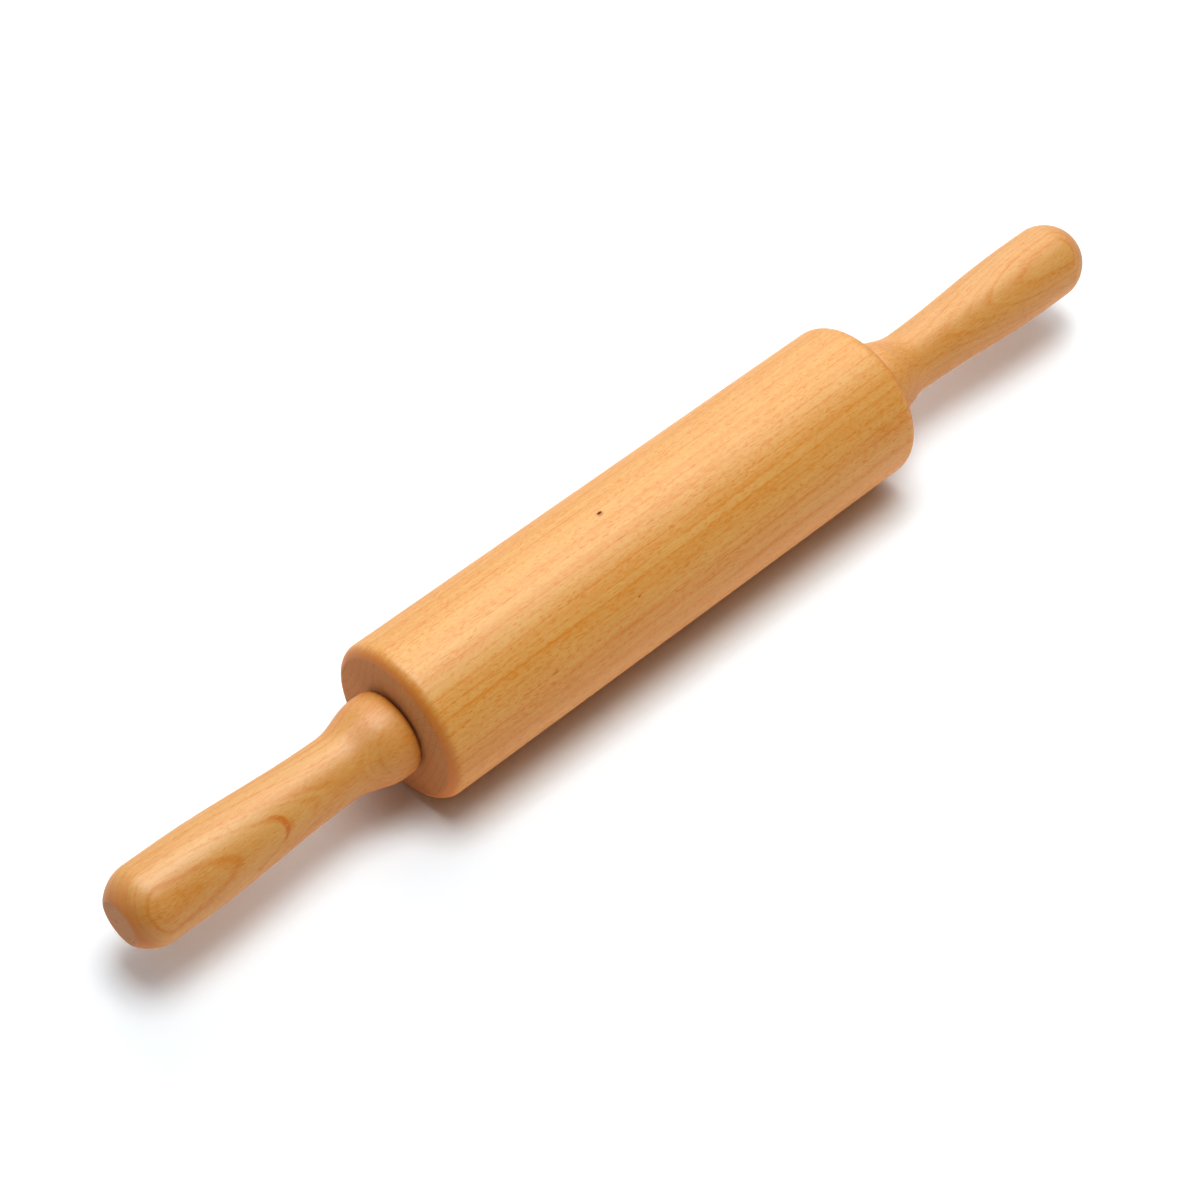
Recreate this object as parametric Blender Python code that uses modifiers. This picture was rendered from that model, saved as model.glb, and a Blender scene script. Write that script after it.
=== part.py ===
# A beech rolling pin whose barrel turns on two ball bearings.
# A steel axle runs through the barrel, and a nut under a plug clamps a handle to each of its ends.
# Metres, +Z up. The axle lies along X, and the table is at z = 0.

import math

import bmesh
import bpy
from mathutils import Matrix

# Room left between two pieces that touch or nearly touch on the real object
SEAT_GAP = 0.0003

# Barrel
BARREL_DIAMETER = 0.060
BARREL_LENGTH = 0.222
BARREL_EDGE_RADIUS = 0.0053
BARREL_EDGE_DROP = 0.0034  # how far the end face's edge lies inside the barrel's side
AXLE_TUNNEL_DIAMETER = 0.014  # wide enough to stay clear of the bearing's inner ring
BARREL_SIDES = 64

# Handle, with places measured outwards from the collar's back face
HANDLE_LENGTH = 0.113
COLLAR_GAP = 0.0006  # between the barrel's end face and the collar
COLLAR_DIAMETER = 0.0314
COLLAR_RIM_WIDTH = 0.0039
COLLAR_RIM_DROP = 0.0023
COLLAR_WIDTH = 0.0065
NECK_DIAMETER = 0.0236
NECK_PLACE = 0.0245
GRIP_DIAMETER = 0.0290
GRIP_PLACE = 0.090
CAP_REACH = 0.0143  # how far the rounding would go on if the end were not cut off flat
CAP_FULLNESS = 1.82  # 2 is an ellipse, and less is more pointed
END_FACE_DIAMETER = 0.0174
HANDLE_SIDES = 32

# Axle and fasteners
THREAD_DIAMETER = 0.006
THREAD_STAND_OUT = 0.0015
THRUST_WASHER_DIAMETER = 0.012
THRUST_WASHER_THICKNESS = 0.0012
NUT_WASHER_DIAMETER = 0.012
NUT_WASHER_THICKNESS = 0.0016
NUT_ACROSS_FLATS = 0.010
NUT_HEIGHT = 0.005
PLUG_DIAMETER = 0.0128
PLUG_THICKNESS = 0.005
PLUG_ROOM = 0.0023  # air between the thread's end and the plug
ROD_SIDES = 24

# Ball bearing, of the common 8 x 22 x 7 mm size
BEARING_BORE = 0.008
BEARING_DIAMETER = 0.022
BEARING_WIDTH = 0.007
BALL_DIAMETER = 0.003969
BALL_COUNT = 7
RACE_DEPTH = 0.0008
SHIELD_THICKNESS = 0.0004
SHIELD_INSET = 0.0002
SHIELD_SEAT_DEPTH = 0.0006
CAGE_WALL = 0.0015
CAGE_PRONG_REACH = 0.0012
RING_SIDES = 32
BALL_SIDES = 10

# Worked out from the sizes above
AXIS_HEIGHT = BARREL_DIAMETER / 2 * math.cos(math.pi / BARREL_SIDES)
COLLAR_FACE = BARREL_LENGTH / 2 + COLLAR_GAP
HANDLE_TIP = COLLAR_FACE + HANDLE_LENGTH
THRUST_WASHER_PLACE = COLLAR_FACE - SEAT_GAP - THRUST_WASHER_THICKNESS
BEARING_FACE = THRUST_WASHER_PLACE - SEAT_GAP
BEARING_MIDDLE = BEARING_FACE - BEARING_WIDTH / 2
RECESS_DEPTH = BARREL_LENGTH / 2 - BEARING_FACE + BEARING_WIDTH + SEAT_GAP
PLUG_PLACE = HANDLE_TIP - PLUG_THICKNESS
THREAD_END = PLUG_PLACE - PLUG_ROOM
NUT_PLACE = THREAD_END - THREAD_STAND_OUT - NUT_HEIGHT
NUT_WASHER_PLACE = NUT_PLACE - SEAT_GAP - NUT_WASHER_THICKNESS
COUNTERBORE_FLOOR = NUT_WASHER_PLACE - SEAT_GAP
COUNTERBORE_RADIUS = PLUG_DIAMETER / 2 + SEAT_GAP
THREAD_HOLE_RADIUS = THREAD_DIAMETER / 2 + SEAT_GAP
AXLE_RADIUS = BEARING_BORE / 2 - SEAT_GAP
PITCH_RADIUS = (BEARING_BORE + BEARING_DIAMETER) / 4
RACE_RADIUS = BALL_DIAMETER / 2 + SEAT_GAP
RACE_ANGLE = math.acos(1 - RACE_DEPTH / RACE_RADIUS)
INNER_LAND = PITCH_RADIUS - RACE_RADIUS + RACE_DEPTH
OUTER_LAND = PITCH_RADIUS + RACE_RADIUS - RACE_DEPTH
SHIELD_SEAT = OUTER_LAND + SHIELD_SEAT_DEPTH
SHIELD_FACE = BEARING_WIDTH / 2 - SHIELD_INSET


def clear_scene():
    for obj in list(bpy.data.objects):
        bpy.data.objects.remove(obj, do_unlink=True)


def collection(name):
    made = bpy.data.collections.new(name)
    bpy.context.scene.collection.children.link(made)
    return made


def material(name, colour, roughness, metallic=0.0):
    made = bpy.data.materials.new(name)
    made.use_nodes = True
    shader = made.node_tree.nodes["Principled BSDF"]
    shader.inputs["Base Color"].default_value = (*colour, 1.0)
    shader.inputs["Roughness"].default_value = roughness
    shader.inputs["Metallic"].default_value = metallic
    return made


def place(name, mesh, finish, parent, along=0.0):
    """Link a mesh as a named sub-part, at a distance along its parent's axis."""
    mesh.materials.append(finish)
    obj = bpy.data.objects.new(name, mesh)
    obj.parent = parent
    obj.location.z = along
    parts.objects.link(obj)
    return obj


def turned(name, outline, sides, finish, parent, along=0.0, ring=True):
    """Turn an outline of (radius, height) points, which runs down its outer side, about local Z."""
    mesh = bpy.data.meshes.new(name)
    points = [(radius, 0.0, height) for radius, height in outline]
    edges = [(i, i + 1) for i in range(len(points) - 1)]
    if ring:
        edges.append((len(points) - 1, 0))
    mesh.from_pydata(points, edges, [])
    obj = place(name, mesh, finish, parent, along)
    screw = obj.modifiers.new("Turn", "SCREW")
    screw.axis = "Z"
    screw.angle = 2 * math.pi
    screw.steps = sides
    screw.render_steps = sides
    screw.use_merge_vertices = True
    screw.merge_threshold = 0.00001
    screw.use_smooth_shade = True
    return obj


def arc(radius_at, height_at, size, start, stop, steps):
    """Points on a circular arc, with angles counted from the radius direction towards the height."""
    turns = [start + (stop - start) * i / steps for i in range(steps + 1)]
    return [(radius_at + size * math.cos(a), height_at + size * math.sin(a)) for a in turns]


def swell(start, stop, steps):
    """An S-shaped stretch between two (radius, height) points, level at both ends."""
    points = []
    for i in range(steps + 1):
        share = i / steps
        radius = start[0] + (stop[0] - start[0]) * (1 - math.cos(math.pi * share)) / 2
        points.append((radius, start[1] + (stop[1] - start[1]) * share))
    return points


def washer_outline(inner, outer, thickness):
    return [(outer, thickness), (outer, 0.0), (inner, 0.0), (inner, thickness)]


def barrel_outline():
    radius = BARREL_DIAMETER / 2
    half = BARREL_LENGTH / 2
    turn = math.acos(1 - BARREL_EDGE_DROP / BARREL_EDGE_RADIUS)
    edge_start = half - BARREL_EDGE_RADIUS * math.sin(turn)
    edge = arc(radius - BARREL_EDGE_RADIUS, edge_start, BARREL_EDGE_RADIUS, turn, 0.0, 5)
    recess = BEARING_DIAMETER / 2 + SEAT_GAP
    shoulder = half - RECESS_DEPTH
    inside = [(AXLE_TUNNEL_DIAMETER / 2, shoulder), (recess, shoulder), (recess, half)]
    other_edge = [(r, -z) for r, z in reversed(edge)]
    other_inside = [(r, -z) for r, z in reversed(inside)]
    return edge + other_edge + other_inside + inside


def handle_outline():
    collar = COLLAR_DIAMETER / 2
    neck = NECK_DIAMETER / 2
    grip = GRIP_DIAMETER / 2
    power = 2 / CAP_FULLNESS
    last = math.acos((END_FACE_DIAMETER / 2 / grip) ** (1 / power))
    cap_start = HANDLE_LENGTH - CAP_REACH * math.sin(last) ** power
    outline = []
    cap_steps = 8
    for i in range(cap_steps + 1):
        angle = last * (1 - i / cap_steps)
        radius = grip * math.cos(angle) ** power
        outline.append((radius, cap_start + CAP_REACH * math.sin(angle) ** power))
    outline += swell((grip, GRIP_PLACE), (neck, NECK_PLACE), 7)
    outline += swell((neck, NECK_PLACE), (collar, COLLAR_WIDTH), 7)[1:]
    rim_steps = 4
    for i in range(rim_steps + 1):
        angle = math.pi / 2 * i / rim_steps
        radius = collar - COLLAR_RIM_DROP * (1 - math.cos(angle))
        outline.append((radius, COLLAR_RIM_WIDTH * (1 - math.sin(angle))))
    floor = COUNTERBORE_FLOOR - COLLAR_FACE
    outline.append((THREAD_HOLE_RADIUS, 0.0))
    outline.append((THREAD_HOLE_RADIUS, floor))
    outline.append((COUNTERBORE_RADIUS, floor))
    outline.append((COUNTERBORE_RADIUS, HANDLE_LENGTH))
    return outline


def axle_outline():
    thread = THREAD_DIAMETER / 2
    half = [(0.0, THREAD_END), (thread, THREAD_END), (thread, BEARING_FACE), (AXLE_RADIUS, BEARING_FACE)]
    return half + [(r, -z) for r, z in reversed(half)]


def inner_ring_outline():
    half = BEARING_WIDTH / 2
    groove = arc(PITCH_RADIUS, 0.0, RACE_RADIUS, math.pi - RACE_ANGLE, math.pi + RACE_ANGLE, 6)
    bore = BEARING_BORE / 2
    return [(INNER_LAND, half)] + groove + [(INNER_LAND, -half), (bore, -half), (bore, half)]


def outer_ring_outline():
    half = BEARING_WIDTH / 2
    rim = BEARING_DIAMETER / 2
    groove = arc(PITCH_RADIUS, 0.0, RACE_RADIUS, -RACE_ANGLE, RACE_ANGLE, 6)
    seat_floor = SHIELD_FACE - SHIELD_THICKNESS - SEAT_GAP
    seat = [(OUTER_LAND, seat_floor), (SHIELD_SEAT, seat_floor), (SHIELD_SEAT, half)]
    other_seat = [(r, -z) for r, z in reversed(seat)]
    return [(rim, half), (rim, -half)] + other_seat + groove + seat


def ball_places():
    """The balls' centres on the pitch circle, as matrices in the bearing's own frame."""
    places = []
    for i in range(BALL_COUNT):
        around = Matrix.Rotation(2 * math.pi * i / BALL_COUNT, 4, "Z")
        places.append(around @ Matrix.Translation((PITCH_RADIUS, 0.0, 0.0)))
    return places


def spheres_mesh(name, radius, sides, places):
    bm = bmesh.new()
    for where in places:
        bmesh.ops.create_uvsphere(bm, u_segments=sides, v_segments=sides // 2 + 1, radius=radius, matrix=where)
    mesh = bpy.data.meshes.new(name)
    bm.to_mesh(mesh)
    bm.free()
    mesh.shade_smooth()
    return mesh


def cut(obj, cutter):
    """Hide a cutter and take it out of a piece."""
    cutter.hide_render = True
    cutter.display_type = "WIRE"
    boolean = obj.modifiers.new("Cut", "BOOLEAN")
    boolean.operation = "DIFFERENCE"
    boolean.object = cutter


def cage(name, finish, parent):
    """A crown cage: a ring behind the balls, with prongs that reach between them."""
    back = SHIELD_FACE - SHIELD_THICKNESS - SEAT_GAP
    inner = PITCH_RADIUS - CAGE_WALL / 2
    outer = PITCH_RADIUS + CAGE_WALL / 2
    outline = [(outer, CAGE_PRONG_REACH), (outer, -back), (inner, -back), (inner, CAGE_PRONG_REACH)]
    obj = turned(name, outline, RING_SIDES, finish, parent, BEARING_MIDDLE)
    pockets = spheres_mesh(name + "_pockets", RACE_RADIUS, BALL_SIDES + 2, ball_places())
    cutter = bpy.data.objects.new(name + "_pockets", pockets)
    cutter.parent = parent
    cutter.location.z = BEARING_MIDDLE
    cutters.objects.link(cutter)
    cut(obj, cutter)


def nut(name, finish, parent):
    bm = bmesh.new()
    corner = NUT_ACROSS_FLATS / 2 / math.cos(math.pi / 6)
    lift = Matrix.Translation((0.0, 0.0, NUT_HEIGHT / 2))
    bmesh.ops.create_cone(
        bm, cap_ends=True, segments=6, radius1=corner, radius2=corner, depth=NUT_HEIGHT, matrix=lift
    )
    mesh = bpy.data.meshes.new(name)
    bm.to_mesh(mesh)
    bm.free()
    obj = place(name, mesh, finish, parent, NUT_PLACE)
    bm = bmesh.new()
    bmesh.ops.create_cone(
        bm,
        cap_ends=True,
        segments=ROD_SIDES,
        radius1=THREAD_HOLE_RADIUS,
        radius2=THREAD_HOLE_RADIUS,
        depth=2 * NUT_HEIGHT,
        matrix=lift,
    )
    hole = bpy.data.meshes.new(name + "_hole")
    bm.to_mesh(hole)
    bm.free()
    cutter = bpy.data.objects.new(name + "_hole", hole)
    cutter.parent = parent
    cutter.location.z = NUT_PLACE
    cutters.objects.link(cutter)
    cut(obj, cutter)


def bearing(side, parent):
    prefix = side + "_bearing_"
    turned(prefix + "outer_ring", outer_ring_outline(), RING_SIDES, bearing_steel, parent, BEARING_MIDDLE)
    turned(prefix + "inner_ring", inner_ring_outline(), RING_SIDES, bearing_steel, parent, BEARING_MIDDLE)
    for number, where in enumerate(ball_places(), start=1):
        name = prefix + "ball_" + str(number)
        mesh = spheres_mesh(name, BALL_DIAMETER / 2, BALL_SIDES, [Matrix()])
        ball = place(name, mesh, ball_steel, parent)
        ball.location = where.translation
        ball.location.z = BEARING_MIDDLE
    cage(prefix + "cage", cage_nylon, parent)
    shield = washer_outline(INNER_LAND + SEAT_GAP, SHIELD_SEAT - SEAT_GAP, SHIELD_THICKNESS)
    outboard = BEARING_MIDDLE + SHIELD_FACE - SHIELD_THICKNESS
    inboard = BEARING_MIDDLE - SHIELD_FACE
    turned(prefix + "outboard_shield", shield, RING_SIDES, shield_steel, parent, outboard)
    turned(prefix + "inboard_shield", shield, RING_SIDES, shield_steel, parent, inboard)


def handle_end(side, parent):
    """A handle with the washers, nut and plug that hold it on the axle."""
    turned(side + "_handle", handle_outline(), HANDLE_SIDES, beech, parent, COLLAR_FACE)
    thrust = washer_outline(THREAD_HOLE_RADIUS, THRUST_WASHER_DIAMETER / 2, THRUST_WASHER_THICKNESS)
    turned(side + "_thrust_washer", thrust, ROD_SIDES, zinc, parent, THRUST_WASHER_PLACE)
    flat = washer_outline(THREAD_HOLE_RADIUS, NUT_WASHER_DIAMETER / 2, NUT_WASHER_THICKNESS)
    turned(side + "_nut_washer", flat, ROD_SIDES, zinc, parent, NUT_WASHER_PLACE)
    nut(side + "_nut", zinc, parent)
    plug = [(0.0, PLUG_THICKNESS), (PLUG_DIAMETER / 2, PLUG_THICKNESS), (PLUG_DIAMETER / 2, 0.0), (0.0, 0.0)]
    turned(side + "_end_plug", plug, ROD_SIDES, end_grain, parent, PLUG_PLACE, ring=False)


def axis_empty(name, turn):
    """An empty on the axle's line whose local Z points along the axle."""
    empty = bpy.data.objects.new(name, None)
    empty.location = (0.0, 0.0, AXIS_HEIGHT)
    empty.rotation_euler = (0.0, turn, 0.0)
    parts.objects.link(empty)
    return empty


clear_scene()
parts = collection("rolling_pin")
cutters = collection("cutters")

beech = material("lacquered beech", (0.66, 0.36, 0.13), 0.38)
end_grain = material("beech end grain", (0.46, 0.26, 0.13), 0.5)
zinc = material("zinc plated steel", (0.60, 0.62, 0.64), 0.35, 1.0)
axle_steel = material("drawn steel rod", (0.56, 0.57, 0.58), 0.3, 1.0)
bearing_steel = material("ground bearing steel", (0.62, 0.62, 0.63), 0.22, 1.0)
ball_steel = material("polished ball steel", (0.70, 0.70, 0.71), 0.08, 1.0)
shield_steel = material("pressed shield steel", (0.58, 0.58, 0.60), 0.3, 1.0)
cage_nylon = material("black nylon", (0.03, 0.03, 0.032), 0.5)

right_end = axis_empty("right_end", math.pi / 2)
left_end = axis_empty("left_end", -math.pi / 2)

# One flat of the barrel's side faces the table
barrel = turned("barrel", barrel_outline(), BARREL_SIDES, beech, right_end)
barrel.rotation_euler.z = math.pi / BARREL_SIDES
turned("axle_rod", axle_outline(), ROD_SIDES, axle_steel, right_end, ring=False)
for side_name, side_empty in (("left", left_end), ("right", right_end)):
    bearing(side_name, side_empty)
    handle_end(side_name, side_empty)
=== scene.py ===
# A turned beech rolling pin on a white studio floor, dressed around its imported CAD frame.
import math

import bmesh
import bpy
from mathutils import Matrix, Vector


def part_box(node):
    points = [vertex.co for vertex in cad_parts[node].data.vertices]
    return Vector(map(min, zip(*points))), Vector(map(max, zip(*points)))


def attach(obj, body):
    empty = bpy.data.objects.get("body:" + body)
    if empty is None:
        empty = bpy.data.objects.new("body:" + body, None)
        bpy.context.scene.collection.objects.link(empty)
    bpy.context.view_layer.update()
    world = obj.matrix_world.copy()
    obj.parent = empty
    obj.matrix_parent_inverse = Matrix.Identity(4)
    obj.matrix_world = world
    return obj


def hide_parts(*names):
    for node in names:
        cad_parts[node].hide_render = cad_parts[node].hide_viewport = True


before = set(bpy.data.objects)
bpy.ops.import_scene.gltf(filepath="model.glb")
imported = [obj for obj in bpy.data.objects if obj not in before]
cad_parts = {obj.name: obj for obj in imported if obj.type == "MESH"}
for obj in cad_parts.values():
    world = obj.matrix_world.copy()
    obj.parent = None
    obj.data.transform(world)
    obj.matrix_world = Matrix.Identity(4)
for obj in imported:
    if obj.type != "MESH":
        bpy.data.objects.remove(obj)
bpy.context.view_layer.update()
print("frame loaded,", len(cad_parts), "nodes")

barrelLow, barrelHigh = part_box("barrel")
axisHeight = (barrelLow.z + barrelHigh.z) / 2
millimetre = 0.001


# Node helpers, shared by every material

def newMaterial(name):
    made = bpy.data.materials.new(name)
    made.use_nodes = True
    tree = made.node_tree
    return made, tree, tree.nodes["Principled BSDF"]


def addNode(tree, kind, inputs=(), **settings):
    node = tree.nodes.new(kind)
    for key, value in settings.items():
        setattr(node, key, value)
    for key, value in dict(inputs).items():
        if isinstance(value, bpy.types.NodeSocket):
            tree.links.new(value, node.inputs[key])
        else:
            node.inputs[key].default_value = value
    return node


def calc(tree, operation, first, second=0.5, third=0.5, clamp=False):
    inputs = {0: first, 1: second, 2: third}
    return addNode(tree, "ShaderNodeMath", inputs, operation=operation, use_clamp=clamp).outputs[0]


def vectorCalc(tree, operation, first, second=(0.0, 0.0, 0.0), output="Vector"):
    node = addNode(tree, "ShaderNodeVectorMath", {0: first}, operation=operation)
    key = "Scale" if operation == "SCALE" else 1
    if isinstance(second, bpy.types.NodeSocket):
        tree.links.new(second, node.inputs[key])
    elif operation not in ("LENGTH", "NORMALIZE"):
        node.inputs[key].default_value = second
    return node.outputs[output]


def ramp(tree, value, fromLow, fromHigh, toLow=0.0, toHigh=1.0, smooth=True):
    node = addNode(
        tree,
        "ShaderNodeMapRange",
        {"Value": value, "From Min": fromLow, "From Max": fromHigh, "To Min": toLow, "To Max": toHigh},
        interpolation_type="SMOOTHSTEP" if smooth else "LINEAR",
    )
    return node.outputs[0]


def noise(tree, vector, detail=2.0, roughness=0.5, output="Fac"):
    node = addNode(
        tree, "ShaderNodeTexNoise", {"Vector": vector, "Scale": 1.0, "Detail": detail, "Roughness": roughness}
    )
    return node.outputs[output]


def blendColour(tree, factor, first, second, blendType="MIX"):
    inputs = {0: factor, 6: first, 7: second}
    return addNode(tree, "ShaderNodeMix", inputs, data_type="RGBA", blend_type=blendType).outputs[2]


def blendValue(tree, factor, value, level):
    apart = calc(tree, "SUBTRACT", level, value)
    return calc(tree, "MULTIPLY_ADD", apart, factor, value)


def rgb(red, green, blue):
    return (red, green, blue, 1.0)


# Beech

# How fast each pattern changes per millimetre along the axle and across it
grainScales = {
    "slowWander": (0.016, 0.09, 0.09),
    "quickWander": (0.12, 1.1, 1.1),
    "ringPatches": (0.03, 0.25, 0.25),
    "fleckCrowds": (0.03, 0.16, 0.16),
    "fibres": (0.06, 1.9, 1.9),
    "mottle": (0.50, 1.9, 1.9),
    "pores": (0.3, 5.0, 5.0),
    "rays": (0.1, 1.6, 1.6),
    "curlStrands": (0.3, 3.2, 3.2),
}

toneBands = {"along": 0.004, "outwards": 0.38, "slice": 4.7}  # the same for the broad bands

# How far a surface turns to the axle's direction, from 0 to 1, where each colour sets in
edgeTurn = (0.2, 0.85)
cutFaceTurn = (0.955, 0.985)


def grain(tree, place, pattern, detail=2.0, roughness=0.5, output="Fac"):
    return noise(tree, vectorCalc(tree, "MULTIPLY", place, grainScales[pattern]), detail, roughness, output)


def wander(tree, place, pattern, reach):
    # A push to all sides, even about nothing
    push = vectorCalc(tree, "SUBTRACT", grain(tree, place, pattern, output="Color"), (0.5, 0.5, 0.5))
    return vectorCalc(tree, "SCALE", push, reach)


def growthRings(tree, distance, rings):
    # Each ring darkens towards the bark and ends in a sharp line
    start, stop = rings["span"]
    share = calc(tree, "DIVIDE", calc(tree, "SUBTRACT", distance, start), stop - start, clamp=True)
    node = addNode(tree, "ShaderNodeFloatCurve", {"Value": share})
    places = [(start, 0.0)]
    before = start
    for radius, darkness in rings["lines"]:
        width = radius - before
        places += [
            (before + 0.3 * width, 0.05 * darkness),
            (radius - 0.3 * width, 0.15 * darkness),
            (radius - min(0.4, 0.2 * width), 0.3 * darkness),
            (radius - min(0.14, 0.1 * width), darkness),
            (radius + 0.03, darkness),
            (radius + min(0.26, 0.12 * width), 0.0),
        ]
        before = radius + min(0.26, 0.12 * width)
    places.append((stop, 0.0))
    curve = node.mapping.curves[0]
    curve.points[0].location = (0.0, 0.0)
    curve.points[1].location = (1.0, 0.0)
    for radius, darkness in places[1:-1]:
        curve.points.new((radius - start) / (stop - start), darkness)
    for point in curve.points:
        point.handle_type = "VECTOR"
    node.mapping.update()
    return node.outputs[0]


def spotMask(tree, place, spots, surfaceRadius):
    # Small ellipsoids in the wood, each at a place along the axle and an angle from the top
    total = None
    for spot in spots:
        angle = math.radians(spot["angle"])
        reach = spot.get("radius", surfaceRadius)
        centre = (spot["along"], -reach * math.sin(angle), reach * math.cos(angle))
        away = vectorCalc(tree, "SUBTRACT", place, centre)
        length, across = spot["size"]
        scaled = vectorCalc(tree, "DIVIDE", away, (length / 2, across / 2, across / 2))
        near = ramp(tree, vectorCalc(tree, "LENGTH", scaled, output="Value"), 1.25, 0.55, 0.0, spot["strength"])
        total = near if total is None else calc(tree, "MAXIMUM", total, near)
    return total


def curlMask(tree, place, curl, surfaceRadius):
    # A brown arc, thick in its middle, part of a circle drawn on the surface
    angle = math.radians(curl["angle"])
    centre = (curl["along"], -surfaceRadius * math.sin(angle), surfaceRadius * math.cos(angle))
    away = vectorCalc(tree, "SUBTRACT", place, centre)
    across = vectorCalc(tree, "DOT_PRODUCT", away, (0.0, -math.cos(angle), -math.sin(angle)), output="Value")
    outwards = vectorCalc(tree, "DOT_PRODUCT", away, (0.0, -math.sin(angle), math.cos(angle)), output="Value")
    along = addNode(tree, "ShaderNodeSeparateXYZ", {0: away}).outputs[0]
    flat = addNode(tree, "ShaderNodeCombineXYZ", {0: along, 1: across, 2: 0.0}).outputs[0]
    reach = vectorCalc(tree, "LENGTH", flat, output="Value")
    bearing = math.radians(curl["bearing"])
    ahead = (math.cos(bearing), math.sin(bearing), 0.0)
    facing = vectorCalc(tree, "DOT_PRODUCT", vectorCalc(tree, "NORMALIZE", flat), ahead, output="Value")
    taper = ramp(tree, facing, math.cos(math.radians(curl["halfTurn"])), 1.0, smooth=False)
    width = calc(tree, "MULTIPLY_ADD", taper, curl["width"], 0.01)
    offCircle = calc(tree, "ABSOLUTE", calc(tree, "SUBTRACT", reach, curl["circle"]))
    onCircle = ramp(tree, calc(tree, "DIVIDE", offCircle, width), 1.0, 0.35)
    near = ramp(tree, outwards, -9.0, -6.0)
    return calc(tree, "MULTIPLY", calc(tree, "MULTIPLY", onCircle, near), curl["strength"])


def makeBeech(name, wood):
    made, tree, shader = newMaterial(name)
    colours = wood["colours"]
    coords = addNode(tree, "ShaderNodeTexCoord")
    centred = vectorCalc(tree, "SUBTRACT", coords.outputs["Object"], (0.0, 0.0, axisHeight))
    place = vectorCalc(tree, "SCALE", centred, 1 / millimetre)

    # Slow and quick wander of the grain
    slow = wander(tree, place, "slowWander", wood["slowWander"])
    quick = wander(tree, place, "quickWander", wood["quickWander"])
    bent = vectorCalc(tree, "ADD", vectorCalc(tree, "ADD", place, slow), quick)

    # Distance from the tree's centre line, which runs beside the piece and a little askew
    pith = wood["pith"]
    bark = math.radians(pith["barkAngle"])
    apart = addNode(tree, "ShaderNodeSeparateXYZ", {0: bent})
    alongPith = calc(tree, "SUBTRACT", apart.outputs[0], pith["from"])
    sideways = calc(tree, "MULTIPLY_ADD", alongPith, -pith["tilt"][0], apart.outputs[1])
    upwards = calc(tree, "MULTIPLY_ADD", alongPith, -pith["tilt"][1], apart.outputs[2])
    fromPith = addNode(
        tree,
        "ShaderNodeCombineXYZ",
        {
            0: 0.0,
            1: calc(tree, "SUBTRACT", sideways, pith["distance"] * math.sin(bark)),
            2: calc(tree, "ADD", upwards, pith["distance"] * math.cos(bark)),
        },
    )
    distance = vectorCalc(tree, "LENGTH", fromPith.outputs[0], output="Value")
    rings = growthRings(tree, distance, wood["rings"])
    patchy = grain(tree, place, "ringPatches")
    rings = calc(tree, "MULTIPLY", rings, ramp(tree, patchy, 0.3, 0.7, 0.55, 1.15))
    axial = addNode(tree, "ShaderNodeSeparateXYZ", {0: place})
    if wood.get("calm"):
        calm = wood["calm"]
        calmed = calc(tree, "MULTIPLY_ADD", rings, calm["left"], calm["level"])
        fromMiddle = calc(tree, "ABSOLUTE", axial.outputs[0])
        rings = blendValue(tree, ramp(tree, fromMiddle, *calm["span"]), rings, calmed)

    # Broad tone bands that follow the rings
    bandPlace = addNode(
        tree,
        "ShaderNodeCombineXYZ",
        {
            0: calc(tree, "MULTIPLY", apart.outputs[0], toneBands["along"]),
            1: calc(tree, "MULTIPLY", distance, toneBands["outwards"]),
            2: toneBands["slice"],
        },
    )
    bands = ramp(tree, noise(tree, bandPlace.outputs[0], 3.0, 0.6), 0.3, 0.7)

    # Short dark flecks where the rays end, the same all round a turned piece
    around = addNode(tree, "ShaderNodeCombineXYZ", {0: 0.0, 1: axial.outputs[1], 2: axial.outputs[2]})
    ring = vectorCalc(tree, "SCALE", vectorCalc(tree, "NORMALIZE", around.outputs[0]), wood["radius"])
    along = addNode(tree, "ShaderNodeCombineXYZ", {0: axial.outputs[0], 1: 0.0, 2: 0.0})
    skin = vectorCalc(tree, "ADD", ring, along.outputs[0])
    fleck = wood["flecks"]
    dashNoise = noise(tree, vectorCalc(tree, "MULTIPLY", skin, fleck["scale"]), 2.0, 0.6)
    crowd = grain(tree, place, "fleckCrowds", 1.0)
    dashEdge = calc(tree, "ADD", dashNoise, ramp(tree, crowd, 0.3, 0.7, -0.025, 0.025))
    dashEdge = calc(tree, "MULTIPLY_ADD", rings, 0.05, dashEdge)
    dashes = ramp(tree, dashEdge, fleck["from"], fleck["full"])
    longNoise = noise(tree, vectorCalc(tree, "MULTIPLY", skin, fleck["longScale"]), 1.0)
    longDashes = ramp(tree, longNoise, fleck["longFrom"], fleck["longFull"])

    # Fine fibres, and a soft mottle that catches the light
    fibres = ramp(tree, grain(tree, bent, "fibres", 3.0, 0.65), 0.25, 0.75, smooth=False)
    mottle = ramp(tree, grain(tree, skin, "mottle", 3.0, 0.62), 0.25, 0.75, smooth=False)

    # How dark the side grain is, from 0 for light to 1 for dark
    tone = calc(tree, "MULTIPLY", rings, wood["ringDepth"])
    tone = calc(tree, "MULTIPLY_ADD", bands, wood["bandDepth"], tone)
    for part, depth in ((fibres, "fibreDepth"), (mottle, "mottleDepth"), (longDashes, "longDepth")):
        tone = calc(tree, "MULTIPLY_ADD", part, wood[depth], tone)
    tone = calc(tree, "MULTIPLY_ADD", dashes, wood["fleckDepth"], tone, clamp=True)
    side = blendColour(tree, tone, colours["light"], colours["dark"])

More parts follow.
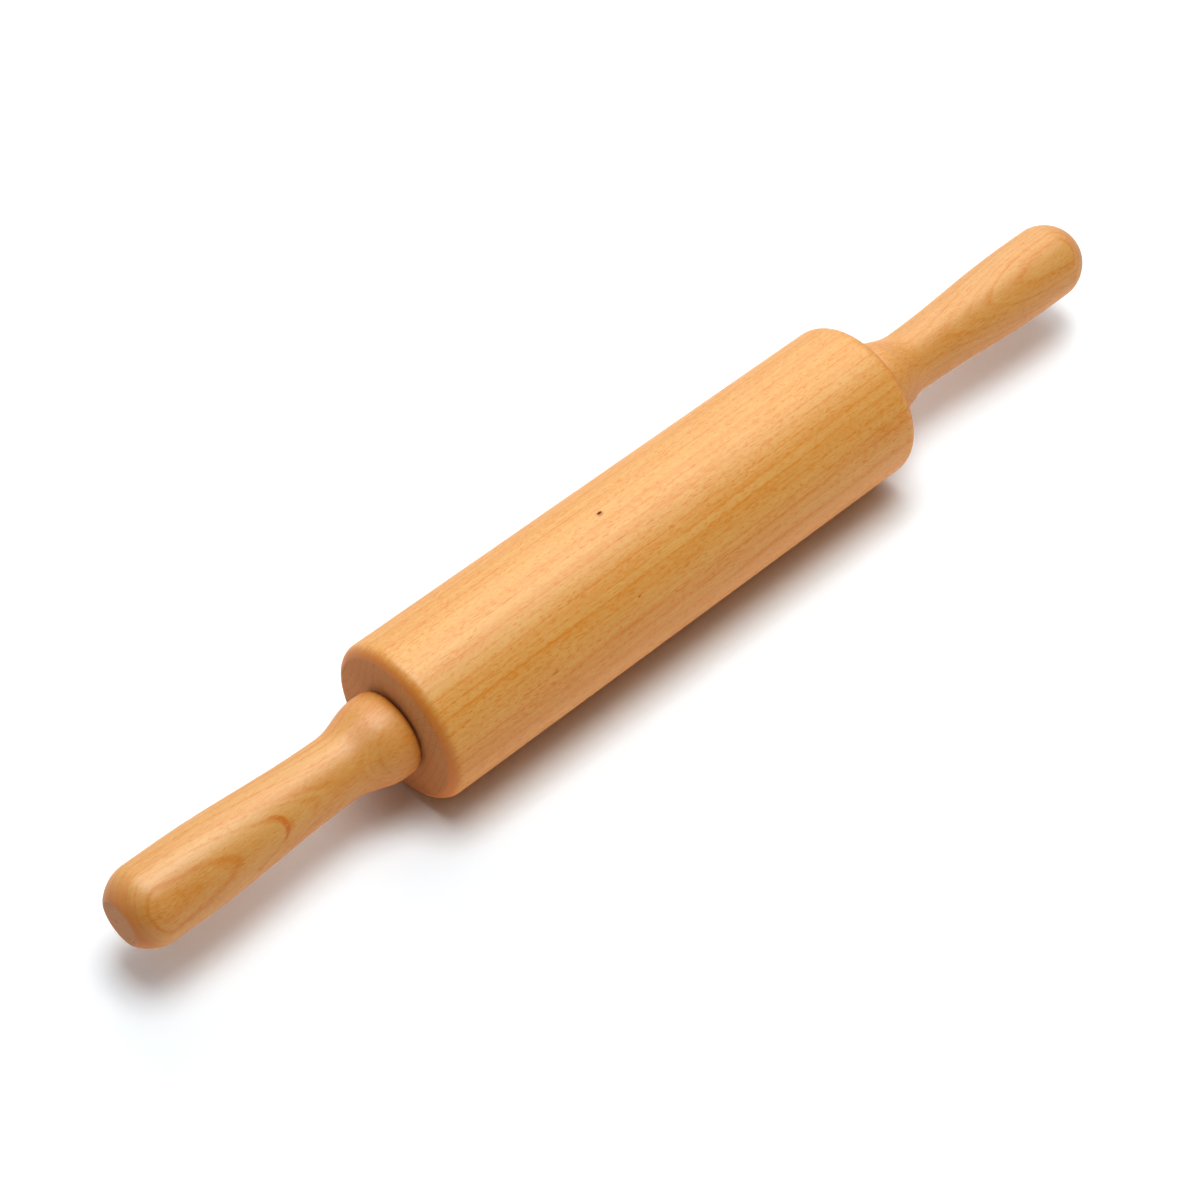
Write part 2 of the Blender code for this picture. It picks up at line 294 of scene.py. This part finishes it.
    # End grain shows where the surface turns towards the axle's direction
    facing = addNode(tree, "ShaderNodeSeparateXYZ", {0: coords.outputs["Normal"]})
    endwards = calc(tree, "ABSOLUTE", facing.outputs[0])
    turning = ramp(tree, endwards, *edgeTurn, 0.0, wood["edgeDepth"])
    side = blendColour(tree, turning, side, colours["edge"])
    pores = ramp(tree, grain(tree, place, "pores", 2.0, 0.6), 0.4, 0.75)
    rays = ramp(tree, grain(tree, skin, "rays"), 0.35, 0.75)
    endTone = calc(tree, "MULTIPLY", rings, wood["endRings"])
    endTone = calc(tree, "MULTIPLY_ADD", pores, wood["endPores"], endTone)
    # Painted shade: the end face is darkened towards the bottom, where the collar and the floor shade it
    if wood.get("endPaintedShade"):
        shade = wood["endPaintedShade"]
        paintedShadeBelow = ramp(tree, axial.outputs[2], *shade["span"], 0.0, shade["depth"])
        endTone = calc(tree, "ADD", endTone, paintedShadeBelow)
    endTone = calc(tree, "MULTIPLY_ADD", rays, wood["endRays"], endTone, clamp=True)
    endGrain = blendColour(tree, endTone, colours["endLight"], colours["endDark"])
    cutFace = ramp(tree, endwards, *cutFaceTurn)
    surface = blendColour(tree, cutFace, side, endGrain)

    # Marks that sit at one place each
    for group, colour in (("streaks", colours["streak"]), ("pins", colours["pin"])):
        if wood.get(group):
            spots = spotMask(tree, place, wood[group], wood["radius"])
            surface = blendColour(tree, spots, surface, colour)
    if wood.get("curl"):
        curl = curlMask(tree, place, wood["curl"], wood["radius"])
        strands = grain(tree, bent, "curlStrands")
        curl = calc(tree, "MULTIPLY", curl, ramp(tree, strands, 0.35, 0.6, 0.3, 1.0))
        surface = blendColour(tree, curl, surface, colours["streak"])
    tree.links.new(surface, shader.inputs["Base Color"])

    # The cut ends and the flecks are duller than the polished sides
    roughness = calc(tree, "MULTIPLY_ADD", cutFace, wood["dullness"], wood["roughness"])
    tree.links.new(calc(tree, "MULTIPLY_ADD", dashes, 0.08, roughness), shader.inputs["Roughness"])
    relief = calc(tree, "MULTIPLY_ADD", fibres, 0.35, calc(tree, "MULTIPLY", mottle, 0.5))
    relief = calc(tree, "MULTIPLY_ADD", dashes, -0.5, relief)
    bump = addNode(
        tree, "ShaderNodeBump", {"Height": relief, "Strength": wood["bump"], "Distance": 0.05 * millimetre}
    )
    tree.links.new(bump.outputs[0], shader.inputs["Normal"])
    shader.inputs["Specular IOR Level"].default_value = wood["gloss"]
    return made


beechColours = {
    "light": rgb(0.90, 0.548, 0.168),
    "dark": rgb(0.75, 0.243, 0.010),
    "edge": rgb(0.62, 0.175, 0.006),
    "endLight": rgb(0.67, 0.310, 0.108),
    "endDark": rgb(0.38, 0.145, 0.042),
    "streak": rgb(0.58, 0.120, 0.001),
    "pin": rgb(0.38, 0.070, 0.003),
}

barrelWood = {
    "colours": beechColours,
    "radius": 30.0,  # millimetres, as are all lengths in the wood
    "pith": {"distance": 70.0, "barkAngle": 110.0, "from": 0.0, "tilt": (0.0117, -0.0302)},
    "rings": {
        "span": (38.0, 102.0),
        "lines": [
            (41.2, 0.6), (44.3, 0.8), (47.2, 0.6), (50.1, 0.9), (53.0, 0.7), (56.5, 0.9), (61.0, 0.5),
            (66.6, 0.45), (69.7, 0.85), (75.0, 0.8), (78.1, 0.7), (81.4, 0.95), (84.7, 0.8), (87.3, 0.9),
            (90.5, 0.7), (93.3, 0.65), (95.1, 0.8), (96.8, 0.6), (98.6, 0.7), (100.4, 0.6),
        ],
    },
    "slowWander": 1.1,
    "quickWander": 0.4,
    "bandDepth": 0.24,
    "ringDepth": 0.36,
    "fibreDepth": 0.32,
    "mottleDepth": 0.42,
    "fleckDepth": 0.54,
    "longDepth": 0.26,
    "edgeDepth": 0.9,
    "endRings": 0.28,
    "endPores": 0.35,
    "endRays": 0.3,
    "endPaintedShade": {"span": (5.0, -26.0), "depth": 0.45},  # painted shade: the end face darker towards the bottom
    "flecks": {
        "scale": (0.42, 2.5, 2.5), "from": 0.54, "full": 0.68,
        "longScale": (0.25, 1.5, 1.5), "longFrom": 0.66, "longFull": 0.76,
    },
    "streaks": [
        {"along": -16.6, "angle": 18.0, "size": (5.0, 0.7), "strength": 0.5},
        {"along": -23.1, "angle": 56.1, "size": (1.5, 0.9), "strength": 0.9},
        {"along": -63.6, "angle": 65.4, "size": (3.4, 0.8), "strength": 0.8},
        {"along": -65.4, "angle": 71.3, "size": (2.8, 0.6), "strength": 0.6},
    ],
    "pins": [{"along": -15.2, "angle": -5.2, "size": (3.0, 2.2), "strength": 0.6}],
    "roughness": 0.40,
    "dullness": 0.35,
    "gloss": 0.45,
    "bump": 0.5,
}

handleColours = {
    **beechColours,
    "light": rgb(0.835, 0.500, 0.158),
    "dark": rgb(0.69, 0.222, 0.010),
    "streak": rgb(0.66, 0.150, 0.001),
    "edge": rgb(0.52, 0.150, 0.010),
    "endLight": rgb(0.52, 0.215, 0.065),
    "endDark": rgb(0.32, 0.120, 0.025),
}

nearWood = {
    **barrelWood,
    "colours": handleColours,
    "radius": 14.0,
    "pith": {"distance": 18.0, "barkAngle": 56.6, "from": -190.0, "tilt": (-0.0136, 0.0381)},
    "rings": {
        "span": (2.0, 36.0),
        "lines": [
            (5.2, 0.5), (8.8, 0.6), (12.2, 0.6), (15.3, 0.7), (18.1, 0.6), (20.6, 0.7), (22.9, 0.6),
            (25.56, 0.8), (26.35, 0.55), (28.37, 0.5), (28.83, 0.6), (30.07, 0.75), (32.02, 0.9),
            (32.91, 0.35), (34.6, 0.5),
        ],
    },
    "slowWander": 0.7,
    "quickWander": 0.32,
    "calm": {"span": (138.0, 122.0), "left": 0.3, "level": 0.38},  # the rings fade by the collar
    "endPaintedShade": None,
    "ringDepth": 0.46,
    "fibreDepth": 0.32,
    "mottleDepth": 0.42,
    "fleckDepth": 0.38,
    "longDepth": 0.20,
    "flecks": {
        "scale": (0.42, 2.7, 2.7), "from": 0.56, "full": 0.70,
        "longScale": (0.22, 1.7, 1.7), "longFrom": 0.66, "longFull": 0.76,
    },
    "streaks": [],
    "pins": [{"along": -224.6, "angle": 250.0, "radius": 1.7, "size": (1.6, 1.7), "strength": 0.7}],
    "curl": {
        "along": -170.1, "angle": 56.5, "circle": 5.0, "bearing": -14.0, "halfTurn": 82.0,
        "width": 1.5, "strength": 0.95,
    },
    "edgeDepth": 0.85,
    "roughness": 0.40,
    "dullness": 0.2,
    "gloss": 0.50,
}

farWood = {
    **nearWood,
    "pith": {"distance": 18.0, "barkAngle": 34.1, "from": 190.0, "tilt": (0.0221, -0.0003)},
    "rings": {
        "span": (2.0, 36.0),
        "lines": [
            (4.9, 0.5), (8.1, 0.6), (11.6, 0.6), (14.9, 0.7), (17.6, 0.6), (20.2, 0.7), (22.8, 0.6),
            (25.2, 0.7), (27.2, 0.5), (28.5, 0.7), (29.66, 0.6), (30.4, 0.55), (31.19, 0.95), (32.32, 0.85),
            (33.6, 0.4),
        ],
    },
    "slowWander": 0.35,
    "calm": {"span": (140.0, 124.0), "left": 0.2, "level": 0.28},
    "ringDepth": 0.44,
    "pins": [],
    "curl": None,
}

barrelBeech = makeBeech("barrelBeech", barrelWood)
nearBeech = makeBeech("nearHandleBeech", nearWood)
farBeech = makeBeech("farHandleBeech", farWood)
print("beech made")


# Metals and plastic for the pieces inside

def makeInside(name, finish):
    made, tree, shader = newMaterial(name)
    coords = addNode(tree, "ShaderNodeTexCoord")
    place = vectorCalc(tree, "SCALE", coords.outputs["Object"], 1 / millimetre)
    toolMarks = noise(tree, vectorCalc(tree, "MULTIPLY", place, finish["grain"]), 3.0, 0.6)
    tree.links.new(blendColour(tree, toolMarks, finish["dark"], finish["light"]), shader.inputs["Base Color"])
    tree.links.new(ramp(tree, toolMarks, 0.3, 0.7, *finish["roughness"]), shader.inputs["Roughness"])
    bump = addNode(
        tree, "ShaderNodeBump", {"Height": toolMarks, "Strength": finish["bump"], "Distance": 0.02 * millimetre}
    )
    tree.links.new(bump.outputs[0], shader.inputs["Normal"])
    shader.inputs["Metallic"].default_value = finish["metal"]
    return made


insideFinishes = {
    "drawnAxleSteel": {
        "nodes": ["axle_rod"],
        "dark": rgb(0.42, 0.42, 0.43), "light": rgb(0.60, 0.60, 0.61),
        "grain": (0.15, 5.0, 5.0), "roughness": (0.24, 0.38), "bump": 0.4, "metal": 1.0,
    },
    "zincPlate": {
        "nodes": ["thrust_washer", "nut_washer", "nut"],
        "dark": rgb(0.50, 0.52, 0.55), "light": rgb(0.68, 0.69, 0.70),
        "grain": (1.2, 1.2, 1.2), "roughness": (0.28, 0.46), "bump": 0.3, "metal": 1.0,
    },
    "groundBearingSteel": {
        "nodes": ["bearing_outer_ring", "bearing_inner_ring"],
        "dark": rgb(0.54, 0.54, 0.55), "light": rgb(0.66, 0.66, 0.66),
        "grain": (6.0, 0.8, 0.8), "roughness": (0.16, 0.28), "bump": 0.25, "metal": 1.0,
    },
    "polishedBallSteel": {
        "nodes": ["bearing_ball_" + str(number) for number in range(1, 8)],
        "dark": rgb(0.66, 0.66, 0.67), "light": rgb(0.74, 0.74, 0.74),
        "grain": (2.0, 2.0, 2.0), "roughness": (0.06, 0.12), "bump": 0.05, "metal": 1.0,
    },
    "pressedShieldSteel": {
        "nodes": ["bearing_outboard_shield", "bearing_inboard_shield"],
        "dark": rgb(0.50, 0.50, 0.52), "light": rgb(0.62, 0.62, 0.63),
        "grain": (0.6, 2.2, 2.2), "roughness": (0.24, 0.40), "bump": 0.3, "metal": 1.0,
    },
    "blackNylon": {
        "nodes": ["bearing_cage"],
        "dark": rgb(0.018, 0.018, 0.02), "light": rgb(0.04, 0.04, 0.043),
        "grain": (1.5, 1.5, 1.5), "roughness": (0.42, 0.58), "bump": 0.3, "metal": 0.0,
    },
}

for finishName, finish in insideFinishes.items():
    finishMaterial = makeInside(finishName, finish)
    for nodeName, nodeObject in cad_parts.items():
        if nodeName.removeprefix("left_").removeprefix("right_") in finish["nodes"]:
            for materialSlot in nodeObject.material_slots:
                materialSlot.material = finishMaterial
print("inside pieces finished")


# Turned pieces

def onSlope(start, stop, steps):
    # An S-shaped stretch between two (along, radius) places, level at both ends
    shares = [i / steps for i in range(steps + 1)]
    return [
        (
            start[0] + (stop[0] - start[0]) * share,
            start[1] + (stop[1] - start[1]) * (1 - math.cos(math.pi * share)) / 2,
        )
        for share in shares
    ]


def roundCorner(before, corner, after, steps=6):
    # A small curve that leaves the line before a corner and joins the one after it
    shares = [i / steps for i in range(1, steps + 1)]
    return [
        tuple(
            (1 - share) ** 2 * first + 2 * share * (1 - share) * middle + share**2 * last
            for first, middle, last in zip(before, corner, after)
        )
        for share in shares
    ]


def turnOnLathe(name, profile, steps, closed):
    # The profile's (along, radius) places are spun about the axle's line
    bm = bmesh.new()
    verts = [bm.verts.new((along, 0.0, axisHeight + radius)) for along, radius in profile]
    pairs = list(zip(verts, verts[1:] + verts[:1] if closed else verts[1:]))
    edges = [bm.edges.new(pair) for pair in pairs]
    bmesh.ops.spin(
        bm, geom=verts + edges, cent=(0.0, 0.0, axisHeight), axis=(1.0, 0.0, 0.0),
        angle=2 * math.pi, steps=steps, use_merge=True,
    )
    bmesh.ops.remove_doubles(bm, verts=bm.verts, dist=0.000001)
    bmesh.ops.recalc_face_normals(bm, faces=bm.faces)
    mesh = bpy.data.meshes.new(name)
    bm.to_mesh(mesh)
    bm.free()
    mesh.shade_smooth()
    mesh.set_sharp_from_angle(angle=math.radians(50))
    made = bpy.data.objects.new(name, mesh)
    bpy.context.scene.collection.objects.link(made)
    made.modifiers.new("KeepFlats", "WEIGHTED_NORMAL").keep_sharp = True
    return made


barrelShape = {
    "radius": (barrelHigh.z - barrelLow.z) / 2,
    "halfLength": (barrelHigh.x - barrelLow.x) / 2,
    "edgeRadius": 0.0053,
    "edgeDrop": 0.0034,
    "edgeSteps": 12,
    "faceSoftening": 0.0004,
    "recessRadius": 0.0113,
    "recessDepth": 0.0085,
    "tunnelRadius": 0.007,
    "steps": 256,
}


def turnBarrel(shape):
    radius, half = shape["radius"], shape["halfLength"]
    turn = math.acos(1 - shape["edgeDrop"] / shape["edgeRadius"])
    edgeStart = half - shape["edgeRadius"] * math.sin(turn)
    right = [
        (
            edgeStart + shape["edgeRadius"] * math.sin(turn * i / shape["edgeSteps"]),
            radius - shape["edgeRadius"] * (1 - math.cos(turn * i / shape["edgeSteps"])),
        )
        for i in range(shape["edgeSteps"])
    ]
    rim = radius - shape["edgeDrop"]
    right += roundCorner(right[-1], (half, rim), (half, rim - shape["faceSoftening"]))
    right += [
        (half, shape["recessRadius"]),
        (half - shape["recessDepth"], shape["recessRadius"]),
        (half - shape["recessDepth"], shape["tunnelRadius"]),
    ]
    left = [(-along, at) for along, at in reversed(right)]
    return turnOnLathe("turned_barrel", left + right, shape["steps"], True)


barrel = turnBarrel(barrelShape)
barrel.data.materials.append(barrelBeech)
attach(barrel, "barrel")
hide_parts("barrel")

pinKnot = {
    "along": -15.05,  # millimetres, and degrees from the top
    "angle": -5.9,
    "size": (3.2, 1.7, 0.5),
    "proud": 0.05,
    "dark": rgb(0.100, 0.010, 0.001),
    "light": rgb(0.240, 0.040, 0.004),
    "grain": (3.0, 5.0, 5.0),
    "roughness": 0.9,
}


def setPinKnot(knot):
    # A tiny dark knot set in the barrel's skin, dull where the wood round it is polished
    bm = bmesh.new()
    bmesh.ops.create_uvsphere(bm, u_segments=24, v_segments=16, radius=0.5 * millimetre)
    bmesh.ops.scale(bm, vec=Vector(knot["size"]), verts=bm.verts)
    depth = axisHeight + (knot["proud"] - knot["size"][2] / 2) * millimetre
    bmesh.ops.translate(bm, vec=Vector((knot["along"] * millimetre, 0.0, depth)), verts=bm.verts)
    bmesh.ops.rotate(
        bm, cent=(0.0, 0.0, 0.0), matrix=Matrix.Rotation(math.radians(knot["angle"]), 3, "X"), verts=bm.verts
    )
    bmesh.ops.translate(bm, vec=Vector((0.0, 0.0, axisHeight)), verts=bm.verts)
    mesh = bpy.data.meshes.new("pin_knot")
    bm.to_mesh(mesh)
    bm.free()
    mesh.shade_smooth()
    made = bpy.data.objects.new("pin_knot", mesh)
    bpy.context.scene.collection.objects.link(made)
    bark, tree, shader = newMaterial("pinKnotBark")
    coords = addNode(tree, "ShaderNodeTexCoord")
    place = vectorCalc(tree, "SCALE", coords.outputs["Object"], 1 / millimetre)
    crumbs = noise(tree, vectorCalc(tree, "MULTIPLY", place, knot["grain"]), 3.0)
    colour = blendColour(tree, ramp(tree, crumbs, 0.35, 0.65), knot["dark"], knot["light"])
    tree.links.new(colour, shader.inputs["Base Color"])
    bump = addNode(tree, "ShaderNodeBump", {"Height": crumbs, "Strength": 0.6, "Distance": 0.05 * millimetre})
    tree.links.new(bump.outputs[0], shader.inputs["Normal"])
    shader.inputs["Roughness"].default_value = knot["roughness"]
    shader.inputs["Specular IOR Level"].default_value = 0.0
    made.data.materials.append(bark)
    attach(made, "barrel")


setPinKnot(pinKnot)
print("barrel turned")

handleShape = {
    "collarRadius": 0.0157,
    "rimWidth": 0.0039,
    "rimDrop": 0.0023,
    "collarWidth": 0.0065,
    "neckRadius": 0.0118,
    "neckPlace": 0.0245,
    "gripRadius": 0.0145,
    "gripPlace": 0.090,
    "capReach": 0.0143,
    "capFullness": 1.82,
    "endRadius": 0.0087,
    "endSoftening": 0.0009,
    "boreRadius": 0.0067,
    "boreDepth": 0.0159,
    "holeRadius": 0.0033,
    "plugRadius": 0.00666,
    "plugDepth": 0.005,
    "steps": 128,
}


def turnHandle(name, side, collarFace, length, shape):
    # Places run from the collar's back face to the end, then back through the bore
    profile = []
    for i in range(9):
        angle = math.pi / 2 * i / 8
        profile.append((
            shape["rimWidth"] * (1 - math.cos(angle)),
            shape["collarRadius"] - shape["rimDrop"] * (1 - math.sin(angle)),
        ))
    collar = (shape["collarWidth"], shape["collarRadius"])
    neck = (shape["neckPlace"], shape["neckRadius"])
    grip = (shape["gripPlace"], shape["gripRadius"])
    profile += onSlope(collar, neck, 16) + onSlope(neck, grip, 24)[1:]
    power = 2 / shape["capFullness"]
    last = math.acos((shape["endRadius"] / shape["gripRadius"]) ** (1 / power))
    capStart = length - shape["capReach"] * math.sin(last) ** power
    for i in range(20):
        angle = last * i / 20
        place = (
            capStart + shape["capReach"] * math.sin(angle) ** power,
            shape["gripRadius"] * math.cos(angle) ** power,
        )
        if math.hypot(length - place[0], place[1] - shape["endRadius"]) > shape["endSoftening"]:
            profile.append(place)
    corner = (length, shape["endRadius"])
    profile += roundCorner(profile[-1], corner, (length, shape["endRadius"] - shape["endSoftening"]))
    profile += [
        (length, shape["boreRadius"]),
        (length - shape["boreDepth"], shape["boreRadius"]),
        (length - shape["boreDepth"], shape["holeRadius"]),
        (0.0, shape["holeRadius"]),
    ]
    placed = [(side * (collarFace + along), radius) for along, radius in profile]
    return turnOnLathe(name, placed, shape["steps"], True)


def turnPlug(name, side, tip, shape):
    profile = [
        (side * tip, 0.0),
        (side * tip, shape["plugRadius"]),
        (side * (tip - shape["plugDepth"]), shape["plugRadius"]),
        (side * (tip - shape["plugDepth"]), 0.0),
    ]
    return turnOnLathe(name, profile, 64, False)


for sideName, side, handleWood in (("left", -1, nearBeech), ("right", 1, farBeech)):
    low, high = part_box(sideName + "_handle")
    collarFace, tip = sorted((abs(low.x), abs(high.x)))
    handle = turnHandle("turned_" + sideName + "_handle", side, collarFace, tip - collarFace, handleShape)
    handle.data.materials.append(handleWood)
    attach(handle, "handles")
    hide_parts(sideName + "_handle")
    plug = turnPlug("turned_" + sideName + "_plug", side, tip, handleShape)
    plug.data.materials.append(handleWood)
    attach(plug, "handles")
    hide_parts(sideName + "_end_plug")
print("handles and plugs turned")


# Studio

studio = {
    "floorSpan": ((-1.2, 1.8), (-0.55, 2.2)),  # along X and along Y
    "floorBounce": rgb(1.14, 0.98, 0.87),  # the light it throws back up at the pin
    "floorSeen": rgb(1.08, 1.115, 1.13),  # white to the camera
    "floorLift": {"span": (0.04, 0.27), "most": 2.2},  # brighter away from the pin, to stay white to its edges
    "floorLiftAcross": (0.22, 1.0, 1.0),  # the lift's shape is long, like the pin
    "paintedCoolShadowReach": 0.08,
    "paintedCoolShadowTint": rgb(1.0, 1.17, 1.25),  # painted: the shadow under the pin made cooler and lighter, against the wood's warm light
    "paintedContactShadeReach": 0.020,
    "paintedContactShadeTint": rgb(0.50, 0.365, 0.25),  # painted shade, darker and warmer where the barrel meets it
    "lamps": {  # where each hangs, its two widths and its power
        "softBox": {"place": (0.05, -0.02, 2.4), "size": (1.5, 1.1), "power": 29.5},
        "longBox": {"place": (0.78, -0.10, 2.4), "size": (3.4, 1.3), "power": 20.0},
        "sheenBox": {"place": (1.19, 0.55, 2.20), "size": (2.0, 1.5), "power": 22.0, "onlyGloss": True},
        "shoulderBox": {"place": (-0.15, 1.10, 2.20), "size": (0.9, 0.9), "power": 20.0, "onlyGloss": True},
        "backPanel": {"place": (1.15, 1.71, 1.33), "size": (1.7, 1.7), "power": 14.0},
    },
    # The room's light from its camera side and from behind the pin, and how far it takes to change
    "sky": {"span": (-0.6, 0.5), "inFront": 0.09, "behind": 0.26},
    "skyInGloss": {"span": (-0.45, 0.45), "inFront": 0.12, "behind": 1.2},
    "skyTint": rgb(0.93, 1.0, 1.08),
}


def layFloor(settings):
    bm = bmesh.new()
    (left, right), (front, back) = settings["floorSpan"]
    corners = ((left, front), (right, front), (right, back), (left, back))
    bm.faces.new([bm.verts.new((x, y, 0.0)) for x, y in corners])
    mesh = bpy.data.meshes.new("studio_floor")
    bm.to_mesh(mesh)
    bm.free()
    floor = bpy.data.objects.new("studio_floor", mesh)
    bpy.context.scene.collection.objects.link(floor)
    made, tree, shader = newMaterial("whiteFloor")
    path = addNode(tree, "ShaderNodeLightPath")
    coords = addNode(tree, "ShaderNodeTexCoord")
    fromPin = vectorCalc(tree, "MULTIPLY", coords.outputs["Object"], settings["floorLiftAcross"])
    away = vectorCalc(tree, "LENGTH", fromPin, output="Value")
    lift = ramp(tree, away, *settings["floorLift"]["span"], 1.0, settings["floorLift"]["most"])
    seen = settings["floorSeen"]
    # Painted shade on the floor from ambient occlusion: darker and warmer where the barrel meets it, cooler and
    # lighter in the shadow under the pin
    for reach, tint in (("paintedContactShadeReach", "paintedContactShadeTint"), ("paintedCoolShadowReach", "paintedCoolShadowTint")):
        paintedShadeOcclusion = addNode(tree, "ShaderNodeAmbientOcclusion", {"Distance": settings[reach]}, samples=8)
        shade = blendColour(tree, paintedShadeOcclusion.outputs["AO"], settings[tint], rgb(1.0, 1.0, 1.0))
        seen = blendColour(tree, 1.0, seen, shade, "MULTIPLY")
    seen = vectorCalc(tree, "SCALE", seen, lift)
    paint = blendColour(tree, path.outputs["Is Camera Ray"], settings["floorBounce"], seen)
    tree.links.new(paint, shader.inputs["Base Color"])
    shader.inputs["Roughness"].default_value = 0.9
    shader.inputs["Specular IOR Level"].default_value = 0.0
    floor.data.materials.append(made)
    return floor


def lightStudio(settings):
    for name, about in settings["lamps"].items():
        lamp = bpy.data.lights.new(name, "AREA")
        lamp.shape = "ELLIPSE"
        lamp.size, lamp.size_y = about["size"]
        lamp.energy = about["power"]
        lampObject = bpy.data.objects.new(name, lamp)
        lampObject.location = about["place"]
        lampObject.rotation_euler = Vector(about["place"]).to_track_quat("Z", "Y").to_euler()
        lampObject.visible_diffuse = not about.get("onlyGloss", False)
        bpy.context.scene.collection.objects.link(lampObject)
    world = bpy.data.worlds.new("paleRoom")
    bpy.context.scene.world = world
    world.use_nodes = True
    tree = world.node_tree
    path = addNode(tree, "ShaderNodeLightPath")
    coords = addNode(tree, "ShaderNodeTexCoord")
    facing = addNode(tree, "ShaderNodeSeparateXYZ", {0: coords.outputs["Generated"]})
    diffuse, glossy = (
        ramp(tree, facing.outputs[1], *room["span"], room["inFront"], room["behind"])
        for room in (settings["sky"], settings["skyInGloss"])
    )
    seen = calc(tree, "MAXIMUM", path.outputs["Is Camera Ray"], path.outputs["Is Transmission Ray"])
    light = addNode(tree, "ShaderNodeMix", {0: path.outputs["Is Glossy Ray"], 2: diffuse, 3: glossy}).outputs[0]
    strength = addNode(tree, "ShaderNodeMix", {0: seen, 2: light, 3: 1.0}).outputs[0]
    tint = blendColour(tree, seen, settings["skyTint"], rgb(1.0, 1.0, 1.0))
    tree.links.new(tint, tree.nodes["Background"].inputs["Color"])
    tree.links.new(strength, tree.nodes["Background"].inputs["Strength"])


layFloor(studio)
lightStudio(studio)

cameraView = {
    "place": (-0.49558, -0.50225, 0.81727),
    "yaw": math.radians(43.579),  # to the right of straight ahead along +Y
    "pitch": math.radians(48.997),  # down from level
    "pixelsAcross": 1200,
    "focalPixels": 3062.7,
}
camera = bpy.data.cameras.new("camera")
camera.sensor_width = 36.0
camera.lens = camera.sensor_width * cameraView["focalPixels"] / cameraView["pixelsAcross"]
camera.clip_start = 0.05
cameraObject = bpy.data.objects.new("camera", camera)
cameraObject.location = cameraView["place"]
cameraObject.rotation_euler = (math.pi / 2 - cameraView["pitch"], 0.0, -cameraView["yaw"])
bpy.context.scene.collection.objects.link(cameraObject)
bpy.context.scene.camera = cameraObject
bpy.context.scene.view_settings.view_transform = "Standard"
print("studio and camera set")
